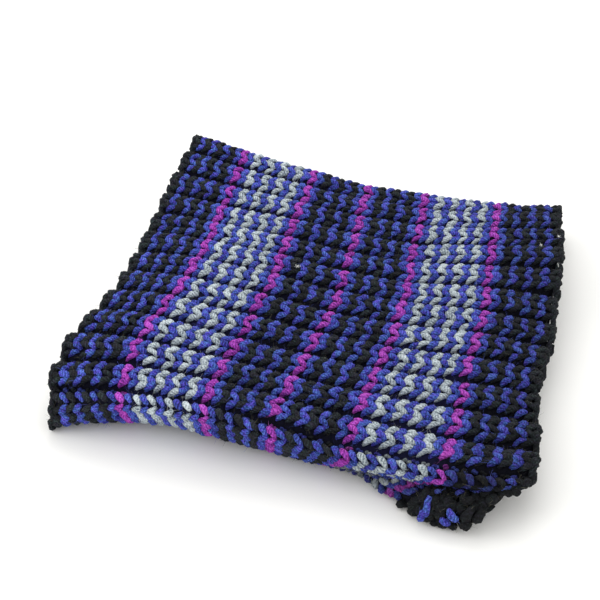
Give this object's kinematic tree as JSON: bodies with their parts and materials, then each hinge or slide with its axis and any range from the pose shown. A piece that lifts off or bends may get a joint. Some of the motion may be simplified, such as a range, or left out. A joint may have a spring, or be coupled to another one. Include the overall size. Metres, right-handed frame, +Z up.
{
  "type": "knit neck tube",
  "caption": "Two-by-two rib-knit tube cowl, folded double and lying flat, striped across its ribs in blue, black, magenta and light grey.",
  "frame": {"origin": "middle of the bounding box, on the surface that the tube lies on", "axes": "+X along the ribs from the bind-off end to the cast-on end, +Y across the ribs from the front fold to the back fold, +Z up"},
  "size_m": [0.2486, 0.2666, 0.0371],
  "materials": {
    "yarn": "matt plied wool, striped blue, black, magenta and light grey",
    "edge_yarn": "matt plied wool, black"
  },
  "bodies": {
    "root": {"upper_layer": "yarn", "under_layer": "yarn", "cast_on_edge": "edge_yarn", "bind_off_edge": "edge_yarn"}
  },
  "joints": []
}
